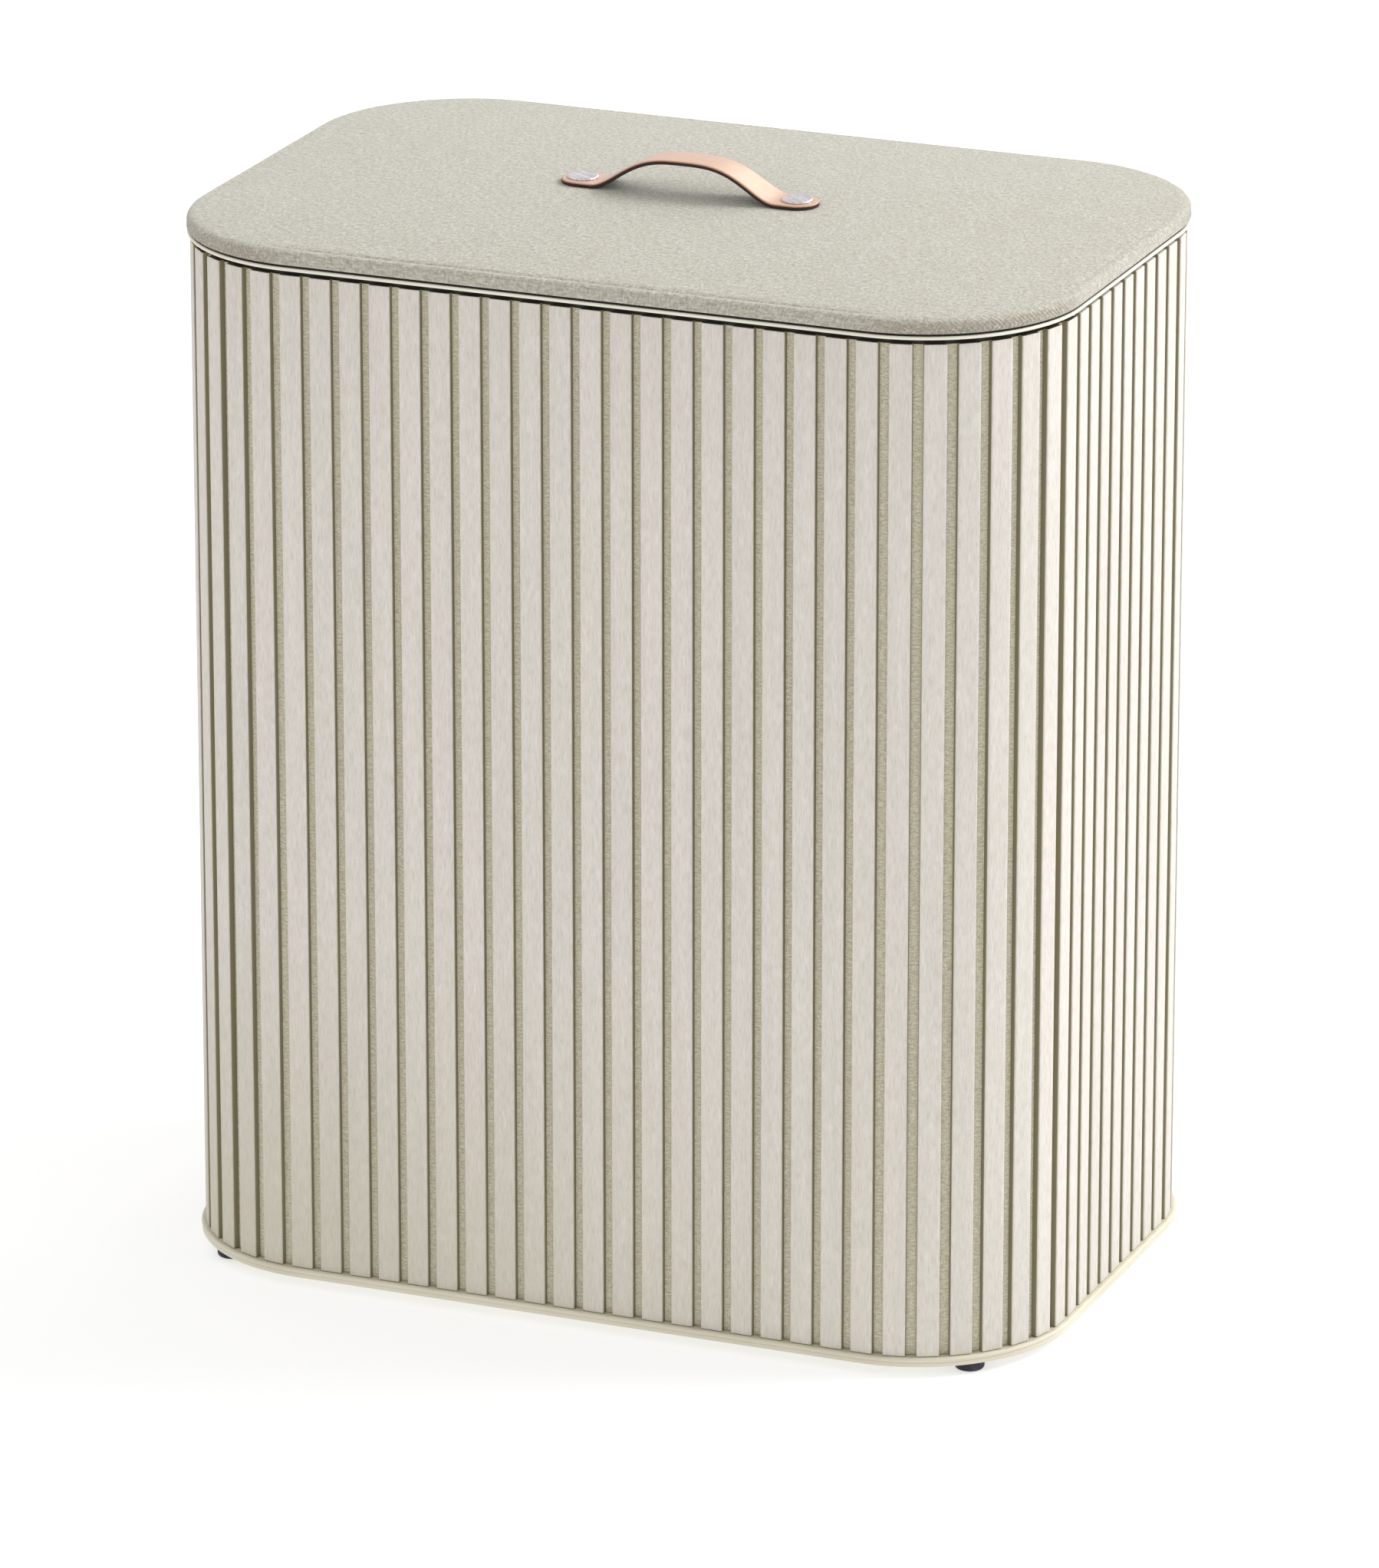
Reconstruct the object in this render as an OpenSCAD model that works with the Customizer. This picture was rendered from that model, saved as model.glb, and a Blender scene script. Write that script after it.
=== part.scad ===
// Slatted storage bin with an upholstered lift-off lid and a leather handle.
// Millimetres, +Z up. The origin is on the floor under the middle of the bin, and the long
// front faces -Y. Offsets named "grow" are measured outwards from the slat faces.

/* [Bin] */
// Width over the slat faces, left to right
bin_w = 400; // [360:1:440]
// Depth over the slat faces, front to back
bin_d = 263.2; // [240:0.1:290]
// Radius of the upright corners, at the slat faces
corner_r = 68.9; // [55:0.1:80]
// Height of the rim's top face above the floor
rim_top = 462.2; // [380:0.1:520]

/* [Slats] */
// Width of one slat
slat_w = 9.8; // [8:0.1:10.5]
// Thickness of one slat
slat_t = 2.9; // [2:0.1:4]
// Spacing of the slats along the backing, rounded to a whole number of slats
slat_spacing = 13.76; // [12.5:0.01:16]
// Distance from the end of the front left corner to the first slat's middle
slat_start = 1.95; // [0:0.05:5]
// Chamfer along a slat's two outer edges
slat_chamfer = 0.4; // [0.2:0.1:0.8]
// Shadow gap between the slats and the rim
slat_top_gap = 2.2; // [1:0.1:5]
// Hairline gap between the slats and the base ring
slat_foot_gap = 0.2; // [0.2:0.1:1]

/* [Wall layers] */
// Thickness of the woven backing that carries the slats
backing_t = 1.1; // [0.8:0.1:2]
// How far the backing stops short of the slats' tops
backing_drop = 0.5; // [0:0.1:1.5]
// Thickness of the moulded shell
shell_t = 3; // [2:0.1:4]
// Thickness of the fabric lining
lining_t = 0.8; // [0.5:0.1:1.2]

/* [Base] */
// Height of the feet under the base ring
foot_h = 4.8; // [3:0.1:8]
// Diameter of a foot
foot_d = 13; // [10:0.5:16]
// Distance of a foot's axis from the axis of its rounded corner, along the width
foot_reach_x = 42.3; // [36:0.1:43]
// Distance of a foot's axis from the axis of its rounded corner, along the depth
foot_reach_y = 45.7; // [36:0.1:46]
// Diameter of the stem that plugs a foot into the base
stem_d = 6; // [4:0.5:7]
// Height of the base ring
ring_h = 3.9; // [3.7:0.1:5]
// How far the base ring stands proud of the slats
ring_proud = 2; // [1.5:0.1:3]
// Thickness of the floor board
board_t = 4; // [3:0.5:6]
// Thickness of the floor mat
mat_t = 3; // [2:0.5:5]

/* [Rim] */
// Thickness of the rim's flange
rim_t = 1.5; // [1.2:0.1:3]
// How far the flange stands proud of the slats
rim_proud = 1.3; // [0.8:0.1:2.5]
// Depth of the skirt that hangs inside the shell
skirt_h = 14; // [10:1:20]
// Thickness of the skirt
skirt_t = 2; // [1.5:0.1:2.5]
// Thickness of the dark seal on the rim, under the lid
seal_t = 0.6; // [0.4:0.1:1]

/* [Lid] */
// How far the lid's fabric stands proud of the slats
lid_proud = 1.2; // [0.8:0.1:2]
// Height of the lid at its edge
lid_edge_h = 6.8; // [6.2:0.1:8]
// Rise of the padded top from its edge to its middle
lid_crown = 4.6; // [2:0.1:6]
// Thickness of the lid's board
lid_board_t = 3; // [2.5:0.1:3.2]
// Thickness of the lid's fabric
fabric_t = 0.8; // [0.5:0.1:1]
// Width of the fabric turned under the board
turn_under = 13; // [10:1:20]
// Depth of the locating frame under the lid
frame_drop = 12; // [8:1:14]
// Gap between the locating frame and the rim's skirt
frame_gap = 1.2; // [0.6:0.1:2]

/* [Handle] */
// Length of the strap, tip to tip
strap_l = 118; // [110:1:130]
// Width of the strap
strap_w = 19; // [16:0.5:20]
// Thickness of the strap
strap_t = 2; // [1.5:0.1:3]
// Rise of the arch over the strap's flat ends
arch_rise = 14.3; // [10:0.1:20]
// Length of the arch between the flat ends
arch_l = 85.4; // [76:0.1:85.4]
// Diameter of a rivet's head
rivet_d = 13.5; // [10:0.5:15]

/* [Hidden] */
$fn = 96;

// Straight lengths between the corners, and the slats' even spacing round the shell
straight_w = bin_w - 2 * corner_r;
straight_d = bin_d - 2 * corner_r;
side_l = [straight_w, straight_d, straight_w, straight_d];
shell_out = slat_t + backing_t;
corner_l = (corner_r - shell_out) * PI / 2;
wrap_l = 2 * (straight_w + straight_d) + 4 * corner_l;
slat_count = round(wrap_l / slat_spacing);
slat_pitch = wrap_l / slat_count;

// Layers of the wall, as distances inside the slat faces
shell_in = shell_out + shell_t;
slip = 0.1;
lining_in = shell_in + lining_t;
skirt_out = lining_in + slip;
skirt_in = skirt_out + skirt_t;
upstand_out = shell_in + slip;
upstand_in = upstand_out + 2;

// Heights in the bin
ring_top = foot_h + ring_h;
tray_t = 1.8;
rib_h = 3.3;
board_z = ring_top + rib_h;
mat_z = board_z + board_t;
slat_bottom = ring_top + slat_foot_gap;
rim_bottom = rim_top - rim_t;
slat_top = rim_bottom - slat_top_gap;
ring_bead = 1;
stem_h = 3.2;

// The seal's band on the rim, as distances inside the slat faces
seal_out = -0.3;
seal_in = 6;

// Heights and insets in the lid
lid_gap = 0.2;
lid_z = rim_top + seal_t + lid_gap;
lid_top = lid_z + lid_edge_h + lid_crown;
board_bottom = lid_z + fabric_t;
board_top = board_bottom + lid_board_t;
board_slack = 0.6;
edge_round = 3;
hem_round = 0.6;
crown_end = 122;
ring_steps = 12;
frame_out = skirt_in + frame_gap;
frame_wall = 2.5;
frame_flange_w = 11;
frame_flange_t = 2;
screw_inset = frame_out + frame_wall + 4.3;
screw_x = 90;
screw_shank_r = 1.25;
screw_head_r = 2.6;
screw_head_h = 1.6;

// Handle
post_r = 2.2;
hole_r = 2.3;
rivet_x = strap_l / 2 - strap_w / 2;
rivet_head_h = 1.1;
rivet_chamfer = 0.3;
rivet_nut_r = 6;
rivet_nut_h = 1.4;
arch_power = 1.6;
arch_steps = 36;

function corner_x(k) = (k == 0 || k == 3 ? -1 : 1) * straight_w / 2;
function corner_y(k) = (k < 2 ? -1 : 1) * straight_d / 2;
function side_start(k) = k == 0 ? 0 : side_start(k - 1) + side_l[k - 1] + corner_l;
function slat_place(i) = slat_start + i * slat_pitch;
function arch_h(x) =
    abs(x) >= arch_l / 2 ? 0 : arch_rise * (1 + cos(180 * pow(2 * abs(x) / arch_l, arch_power))) / 2;

// The bin's rounded outline in plan. Corner 0 is front left, and they run counter-clockwise.
module outline(grow) {
    for (k = [0:3])
        translate([corner_x(k), corner_y(k)]) circle(corner_r + grow);
    square([straight_w, bin_d + 2 * grow], center = true);
    square([bin_w + 2 * grow, straight_d], center = true);
}

module plate(grow, bottom, top) {
    translate([0, 0, bottom]) linear_extrude(top - bottom) outline(grow);
}

// A wall that follows the outline, between two insets from the slat faces
module wall(outer, inner, bottom, top) {
    translate([0, 0, bottom])
        linear_extrude(top - bottom)
            difference() {
                outline(-outer);
                outline(-inner);
            }
}

// Carries a profile round the outline: its x is the distance outside the slat faces, its y the height
module sweep_round() {
    for (k = [0:3])
        translate([corner_x(k), corner_y(k), 0]) {
            rotate([0, 0, 180 + 90 * k])
                rotate_extrude(angle = 90) translate([corner_r, 0]) children();
            rotate([0, 0, 90 * k])
                rotate([90, 0, 90])
                    linear_extrude(side_l[k]) mirror([1, 0]) translate([corner_r, 0]) children();
        }
}

// ---- base ----

// A rounded bead over a slightly recessed band, with a hollow under the plate behind them
module ring_profile() {
    inside = ring_proud - ring_bead;
    difference() {
        union() {
            translate([-shell_out, foot_h]) square([shell_out + inside, ring_h]);
            translate([inside, ring_top - ring_bead]) circle(ring_bead);
            translate([inside, foot_h])
                polygon([[0, 0], [0.5, 0], [0.75, 0.4], [0.75, 1.5], [0.45, 2.1], [0, 2.1]]);
        }
        translate([-shell_out - 1, foot_h - 1]) square([shell_out - 1, ring_h - tray_t + 1]);
    }
}

function foot_place(k) = [
    corner_x(k) + sign(corner_x(k)) * foot_reach_x, corner_y(k) + sign(corner_y(k)) * foot_reach_y, 0
];

module at_feet() {
    for (k = [0:3])
        translate(foot_place(k)) children();
}

module base_tray() {
    color("#cfc9b2")
        difference() {
            union() {
                sweep_round() ring_profile();
                plate(-1, ring_top - tray_t, ring_top);
                wall(upstand_out, upstand_in, ring_top - tray_t, mat_z);
                for (x = [-1, 0, 1])
                    translate([x * straight_w / 3 - 1, 5 - bin_d / 2 + upstand_in, ring_top - 1])
                        cube([2, bin_d - 2 * upstand_in - 10, rib_h + 1]);
                for (y = [-1, 1])
                    translate([5 - bin_w / 2 + upstand_in, y * straight_d / 3 - 1, ring_top - 1])
                        cube([bin_w - 2 * upstand_in - 10, 2, rib_h + 1]);
                at_feet() translate([0, 0, foot_h]) cylinder(d = foot_d, h = ring_h - tray_t / 2);
            }
            at_feet() translate([0, 0, foot_h - 1]) cylinder(d = stem_d, h = stem_h + 1);
        }
}

// One push-in foot: a round pad with a soft lower edge and a stem
module foot(k) {
    pad_round = 1.6;
    color("#2f2b38")
        translate(foot_place(k)) {
            rotate_extrude() {
                square([foot_d / 2 - pad_round, foot_h]);
                translate([0, pad_round]) square([foot_d / 2, foot_h - pad_round]);
                translate([foot_d / 2 - pad_round, pad_round]) circle(pad_round);
            }
            translate([0, 0, foot_h - 0.5]) cylinder(d = stem_d - 0.1, h = stem_h + 0.2);
        }
}

module floor_board() {
    color("#b9a888") plate(-upstand_in - 0.2, board_z, mat_z);
}

module floor_mat() {
    color("#b8b29c") plate(-lining_in - 0.3, mat_z, mat_z + mat_t);
}

// ---- wall ----

module inner_shell() {
    color("#3a3733") wall(shell_out, shell_in, ring_top, rim_bottom);
}

module wall_lining() {
    color("#ddd8c8") wall(shell_in, lining_in, mat_z, rim_bottom);
}

module felt_backing() {
    color("#b5af93") wall(slat_t, shell_out, ring_top, slat_top - backing_drop);
}

// One slat, upright, facing -Y from a corner's axis
module slat() {
    half = slat_w / 2;
    face = -corner_r;
    translate([0, 0, slat_bottom])
        linear_extrude(slat_top - slat_bottom)
            polygon([
                [-half, face + slat_t], [-half, face + slat_chamfer], [slat_chamfer - half, face],
                [half - slat_chamfer, face], [half, face + slat_chamfer], [half, face + slat_t]
            ]);
}

module slats_on_side(k) {
    color("#d2ccc1")
        for (i = [0:slat_count - 1]) {
            along = slat_place(i) - side_start(k);
            if (along >= 0 && along < side_l[k])
                translate([corner_x(k), corner_y(k), 0])
                    rotate([0, 0, 90 * k]) translate([along, 0, 0]) slat();
        }
}

// The corner that follows side k
module slats_on_corner(k) {
    next = (k + 1) % 4;
    color("#d2ccc1")
        for (i = [0:slat_count - 1]) {
            along = slat_place(i) - side_start(k) - side_l[k];
            if (along >= 0 && along < corner_l)
                translate([corner_x(next), corner_y(next), 0])
                    rotate([0, 0, 90 * (k + along / corner_l)]) slat();
        }
}

// ---- rim ----

module rim_profile() {
    translate([-skirt_in, rim_bottom]) square([skirt_in + rim_proud - rim_t / 2, rim_t]);
    translate([rim_proud - rim_t / 2, rim_bottom + rim_t / 2]) circle(rim_t / 2);
    translate([-skirt_in, rim_bottom - skirt_h]) square([skirt_t, skirt_h + 1]);
}

module top_rim() {
    color("#ebe6d8") sweep_round() rim_profile();
}

module rim_seal() {
    color("#2e2b28") wall(seal_out, seal_in, rim_top, rim_top + seal_t);
}

// ---- lid ----

// Corner radius of a ring inside the lid, shrinking towards the middle
function ring_r(grow) = corner_r * (1 + 2 * grow / bin_d);

// Points of a rounded rectangle at one height, counter-clockwise from the front left corner
function ring(grow, z) = [
    for (k = [0:3])
        for (step = [0:ring_steps])
            let (r = ring_r(grow), turn = 180 + 90 * (k + step / ring_steps))
                [
                    sign(corner_x(k)) * (bin_w / 2 + grow - r) + r * cos(turn),
                    sign(corner_y(k)) * (bin_d / 2 + grow - r) + r * sin(turn),
                    z
                ]
];

// A closed solid through rings, given from the bottom up as [grow, height]
module loft(layers) {
    count = 4 * (ring_steps + 1);
    last = (len(layers) - 1) * count;
    polyhedron(
        points = [for (layer = layers) each ring(layer[0], layer[1])],
        faces = concat(
            [[for (i = [0:count - 1]) i]],
            [
                for (n = [0:len(layers) - 2])
                    for (i = [0:count - 1])
                        let (base = n * count, next = (i + 1) % count)
                            [base + i, base + count + i, base + count + next, base + next]
            ],
            [[for (i = [count - 1:-1:0]) last + i]]
        )
    );
}

// Rings of the padded top above its side, shrunk on every side by shrink
function crown_layers(shrink) =
    let (edge = lid_proud - shrink, top = lid_z + lid_edge_h - shrink) [
        [edge, top - edge_round],
        [edge - 0.3 * edge_round, top - 0.3 * edge_round],
        [edge - edge_round, top],
        for (part = [0.33, 0.66, 1])
            [-part * crown_end, top + lid_crown * (1 - pow(1 - part, 2))]
    ];

module at_rivets() {
    for (side = [-1, 1])
        translate([side * rivet_x, 0, 0]) children();
}

module rivet_holes() {
    at_rivets() translate([0, 0, lid_z - 1]) cylinder(r = hole_r, h = lid_top - lid_z + 10);
}

module at_screws() {
    for (y = [-1, 1])
        for (x = [-1, 0, 1])
            translate([x * screw_x, y * (bin_d / 2 - screw_inset), 0]) children();
    for (x = [-1, 1])
        translate([x * (bin_w / 2 - screw_inset), 0, 0]) children();
}

module screw_holes(depth) {
    at_screws() translate([0, 0, lid_z - 5]) cylinder(r = screw_shank_r + slip, h = depth + 5);
}

module lid_board() {
    color("#a8916c")
        difference() {
            plate(lid_proud - fabric_t - board_slack, board_bottom, board_top);
            rivet_holes();
            screw_holes(fabric_t + 2.5);
        }
}

module lid_foam() {
    color("#e8e2cf")
        difference() {
            intersection() {
                loft(concat([[lid_proud - fabric_t - slip, board_bottom]], crown_layers(fabric_t + slip)));
                translate([-bin_w, -bin_d, board_top]) cube([2 * bin_w, 2 * bin_d, 20]);
            }
            rivet_holes();
        }
}

module lid_cover() {
    color("#c4c0b2")
        difference() {
            loft(concat([[lid_proud - hem_round, lid_z], [lid_proud, lid_z + hem_round]], crown_layers(0)));
            loft(concat([[lid_proud - fabric_t, board_bottom]], crown_layers(fabric_t)));
            plate(-turn_under, lid_z - 1, lid_z + 3);
            rivet_holes();
        }
}

module lid_lining() {
    color("#cfc8b4")
        difference() {
            plate(-turn_under - 0.2, lid_z, board_bottom);
            rivet_holes();
            screw_holes(fabric_t + 1);
        }
}

module lid_frame() {
    color("#e2dccb")
        difference() {
            union() {
                wall(frame_out, frame_out + frame_wall, lid_z - frame_drop, lid_z);
                wall(frame_out, frame_out + frame_flange_w, lid_z - frame_flange_t, lid_z);
            }
            screw_holes(1);
        }
}

module frame_screws() {
    color("silver")
        at_screws() {
            translate([0, 0, lid_z - frame_flange_t - screw_head_h])
                cylinder(r1 = screw_head_r - 0.6, r2 = screw_head_r, h = screw_head_h);
            translate([0, 0, lid_z - frame_flange_t - 0.5]) cylinder(r = screw_shank_r, h = 5.4);
        }
}

// ---- handle ----

// The strap lies flat on the lid at both ends and arches between them
module handle_strap() {
    half = strap_l / 2;
    step = arch_l / arch_steps;
    arch = [for (i = [0:arch_steps]) let (x = i * step - arch_l / 2) [x, arch_h(x)]];
    under = concat([[-half, 0]], arch, [[half, 0]]);
    over = [for (i = [len(under) - 1:-1:0]) under[i] + [0, strap_t]];
    color("#c98f68")
        translate([0, 0, lid_top])
            difference() {
                intersection() {
                    translate([0, strap_w / 2, 0])
                        rotate([90, 0, 0]) linear_extrude(strap_w) polygon(concat(under, over));
                    translate([0, 0, -1])
                        linear_extrude(arch_rise + strap_t + 2) {
                            square([strap_l - strap_w, strap_w], center = true);
                            at_rivets() circle(d = strap_w);
                        }
                }
                at_rivets() translate([0, 0, -1]) cylinder(r = hole_r, h = strap_t + 2);
            }
}

// A flat-headed post that clamps the strap, and the padding under it, to the board
module rivet(side) {
    color("#c9c6d2")
        translate([side * rivet_x, 0, lid_top + strap_t])
            rotate_extrude() {
                polygon([
                    [0, 0], [rivet_d / 2, 0], [rivet_d / 2, rivet_head_h - rivet_chamfer],
                    [rivet_d / 2 - rivet_chamfer, rivet_head_h], [0, rivet_head_h]
                ]);
                translate([0, lid_z - rivet_nut_h - lid_top - strap_t])
                    square([post_r, lid_top + strap_t - lid_z + rivet_nut_h + 0.5]);
            }
}

module rivet_nut(side) {
    color("#a9a6ae")
        translate([side * rivet_x, 0, lid_z - rivet_nut_h])
            difference() {
                cylinder(r = rivet_nut_r, h = rivet_nut_h);
                translate([0, 0, -1]) cylinder(r = post_r + 0.05, h = rivet_nut_h + 2);
            }
}

base_tray();
foot(0);  // foot_front_left
foot(1);  // foot_front_right
foot(2);  // foot_back_right
foot(3);  // foot_back_left
floor_board();
floor_mat();
inner_shell();
wall_lining();
felt_backing();
slats_on_side(0);  // slats_front
slats_on_corner(0);  // slats_front_right
slats_on_side(1);  // slats_right
slats_on_corner(1);  // slats_back_right
slats_on_side(2);  // slats_back
slats_on_corner(2);  // slats_back_left
slats_on_side(3);  // slats_left
slats_on_corner(3);  // slats_front_left
top_rim();
rim_seal();
lid_board();
lid_foam();
lid_cover();
lid_lining();
lid_frame();
frame_screws();
handle_strap();
rivet(-1);  // rivet_left
rivet(1);  // rivet_right
rivet_nut(-1);  // rivet_nut_left
rivet_nut(1);  // rivet_nut_right
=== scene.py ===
import math
import random

import bpy
import numpy as np
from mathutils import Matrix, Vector, noise


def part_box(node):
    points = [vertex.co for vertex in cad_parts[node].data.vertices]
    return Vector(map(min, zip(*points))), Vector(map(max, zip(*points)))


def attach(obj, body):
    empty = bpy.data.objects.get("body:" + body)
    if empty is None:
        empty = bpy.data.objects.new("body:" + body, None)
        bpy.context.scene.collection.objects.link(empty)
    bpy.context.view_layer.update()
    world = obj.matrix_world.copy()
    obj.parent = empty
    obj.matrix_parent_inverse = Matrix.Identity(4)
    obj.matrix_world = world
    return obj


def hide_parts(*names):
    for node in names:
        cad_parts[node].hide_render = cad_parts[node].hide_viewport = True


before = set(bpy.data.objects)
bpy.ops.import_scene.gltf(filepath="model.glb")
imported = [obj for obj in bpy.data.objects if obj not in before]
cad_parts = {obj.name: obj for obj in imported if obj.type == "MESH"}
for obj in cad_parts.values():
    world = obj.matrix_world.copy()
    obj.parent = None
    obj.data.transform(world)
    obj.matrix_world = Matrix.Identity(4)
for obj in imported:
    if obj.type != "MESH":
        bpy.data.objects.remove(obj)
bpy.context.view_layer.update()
MM = 0.001


# ---- places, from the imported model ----

def low(node):
    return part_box(node)[0]


def high(node):
    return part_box(node)[1]


HALF_W = high("slats_right").x          # to the slat faces
HALF_D = high("slats_back").y
CORNER_R = 68.9 * MM                    # at the slat faces, as in the CAD source
CORNER_X = HALF_W - CORNER_R
CORNER_Y = HALF_D - CORNER_R
SLAT_LOW, SLAT_HIGH = low("slats_front").z, high("slats_front").z
LID_Z = low("lid_cover").z
LID_TOP = low("handle_strap").z
RIVET_X = (low("rivet_right").x + high("rivet_right").x) / 2


# ---- camera ----

AZIMUTH, ELEVATION = math.radians(22.172), math.radians(18.853)
CAMERA_TARGET = Vector((-0.0002, 0, 0.2070))
CAMERA_DISTANCE = 4.4097
back = Vector((
    math.sin(AZIMUTH) * math.cos(ELEVATION),
    -math.cos(AZIMUTH) * math.cos(ELEVATION),
    math.sin(ELEVATION),
))
camera = bpy.data.objects.new("camera", bpy.data.cameras.new("camera"))
bpy.context.scene.collection.objects.link(camera)
camera.data.lens = 231.74
camera.data.sensor_width = 36
camera.location = CAMERA_TARGET + back * CAMERA_DISTANCE
camera.rotation_mode = "QUATERNION"
camera.rotation_quaternion = back.to_track_quat("Z", "Y")
bpy.context.scene.camera = camera


# ---- materials ----

def linear(r, g, b):
    """A colour given as 0-255 screen values, as Blender's linear colour."""
    share = [v / 255 for v in (r, g, b)]
    return (*[v / 12.92 if v <= 0.04045 else ((v + 0.055) / 1.055) ** 2.4 for v in share], 1)


class Finish:
    """A Principled material, with short calls for the nodes of its patterns."""

    def __init__(self, name, **sockets):
        self.material = bpy.data.materials.new(name)
        self.material.use_nodes = True
        self.tree = self.material.node_tree
        self.shader = self.tree.nodes["Principled BSDF"]
        for key, value in sockets.items():
            self.feed(self.shader.inputs[key.replace("_", " ")], value)

    def feed(self, socket, value):
        if isinstance(value, bpy.types.NodeSocket):
            self.tree.links.new(value, socket)
        else:
            socket.default_value = value

    def node(self, kind, inputs=(), **settings):
        made = self.tree.nodes.new("ShaderNode" + kind)
        for key, value in settings.items():
            setattr(made, key, value)
        for key, value in dict(inputs).items():
            self.feed(made.inputs[key], value)
        return made

    def attribute(self, name):
        return self.node("Attribute", attribute_name=name).outputs["Vector"]

    def split(self, vector):
        return self.node("SeparateXYZ", {0: vector}).outputs

    def place(self):
        return self.node("TexCoord").outputs["Object"]

    def scaled(self, vector, x, y, z):
        return self.node("VectorMath", {0: vector, 1: (x, y, z)}, operation="MULTIPLY").outputs[0]

    def noise(self, vector, scale=1.0, detail=2.0, roughness=0.5):
        return self.node("TexNoise", {
            "Vector": vector, "Scale": scale, "Detail": detail, "Roughness": roughness,
        }).outputs["Fac"]

    def cells(self, vector, scale):
        return self.node("TexVoronoi", {"Vector": vector, "Scale": scale}).outputs["Distance"]

    def do(self, operation, a, b=0.0, c=0.0):
        return self.node("Math", {0: a, 1: b, 2: c}, operation=operation).outputs[0]

    def remap(self, value, from_low, from_high, to_low, to_high):
        return self.node("MapRange", {
            0: value, 1: from_low, 2: from_high, 3: to_low, 4: to_high,
        }).outputs[0]

    def mix(self, share, a, b, blend="MIX"):
        made = self.node("Mix", data_type="RGBA", blend_type=blend)
        self.feed(made.inputs[0], share)
        self.feed(made.inputs[6], a)
        self.feed(made.inputs[7], b)
        return made.outputs[2]

    def colour(self, value):
        self.feed(self.shader.inputs["Base Color"], value)

    def rough(self, value):
        self.feed(self.shader.inputs["Roughness"], value)

    def bump(self, height, distance, strength=1.0):
        made = self.node("Bump", {"Height": height, "Distance": distance, "Strength": strength})
        self.feed(self.shader.inputs["Normal"], made.outputs[0])


def slat_finish():
    """Limewashed wood: pale, with short upright fibres, open pores and a tone per slat, and painted shade that makes
    the foot darker and warmer, most of all at the left.
    """
    f = Finish("limewashed_wood", Roughness=0.62, Specular_IOR_Level=0.35)
    at = f.attribute("grain_at")
    tone = f.split(f.attribute("slat_tone_and_lit_ends"))
    broad = f.noise(f.scaled(at, 260, 9, 260), detail=3)
    streak = f.noise(f.scaled(at, 1300, 170, 1300), detail=4, roughness=0.65)
    flame = f.noise(f.scaled(at, 420, 85, 420), detail=3, roughness=0.6)
    pore = f.noise(f.scaled(at, 3600, 420, 3600), detail=1)
    patch = f.noise(f.scaled(at, 170, 75, 170), detail=3)
    pink, green = linear(220, 212, 205), linear(214, 210, 200)
    deep, lime = linear(178, 169, 153), linear(232, 227, 223)
    base = f.mix(f.do("ADD", f.remap(patch, 0.35, 0.65, -0.35, 0.35), tone[1]), pink, green)
    base = f.mix(f.remap(flame, 0.5, 0.7, 0, 0.4), base, lime)
    base = f.mix(f.remap(streak, 0.45, 0.7, 0, 0.42), base, deep)
    base = f.mix(f.remap(pore, 0.62, 0.78, 0, 0.3), base, deep)
    shade = f.do("ADD", tone[0], f.remap(broad, 0.3, 0.7, -0.03, 0.03))
    lit = f.node("HueSaturation", {"Value": shade, "Color": base}).outputs[0]
    # Painted shade: the slats are darker and warmer towards the foot, most of all at the left
    x, _, z = f.split(f.place())
    foot = f.do("MULTIPLY", f.remap(z, 0.03, 0.17, 0.28, 0), f.remap(x, -0.2, 0.2, 1.7, 0.1))
    lit = f.mix(foot, lit, linear(182, 176, 147))
    # The slat sides are dark olive: partly their own darker colour, partly painted shade of the grooves
    depth = f.split(at)[2]
    wall = f.remap(depth, 0.35 * MM, 0.7 * MM, 0, 1)
    f.colour(f.mix(wall, lit, linear(138, 131, 104)))
    f.rough(f.remap(streak, 0.3, 0.7, 0.55, 0.7))
    relief = f.do("SUBTRACT", f.remap(streak, 0.3, 0.7, 0, 1), f.remap(pore, 0.6, 0.8, 0, 1))
    f.bump(relief, 0.12 * MM, 0.35)
    return f.material


def slat_end_finish():
    """End grain painted dark for the shade under the rim, and painted paler, as lit, by the third value of the slats'
    tone attribute.
    """
    f = Finish("slat_end_grain", Roughness=0.8)
    rings = f.noise(f.scaled(f.place(), 900, 900, 60), detail=3)
    painted_lit_ends = f.split(f.attribute("slat_tone_and_lit_ends"))[2]
    # Painted shade: the slat ends are dark for the shade that falls on them
    base = f.mix(rings, linear(38, 34, 24), linear(54, 48, 34))
    # Painted light: the ends turn pale where they are painted as lit
    f.colour(f.mix(painted_lit_ends, base, linear(212, 207, 198)))
    f.bump(rings, 0.1 * MM, 0.4)
    return f.material


def weave(f, across, along, pitch):
    """Height of a plain weave at a pitch, 0 to 1."""
    turn = math.pi / pitch
    a = f.do("SINE", f.do("MULTIPLY", across, turn))
    b = f.do("SINE", f.do("MULTIPLY", along, turn))
    return f.do("MULTIPLY", f.do("ABSOLUTE", a), f.do("ABSOLUTE", b))


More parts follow.
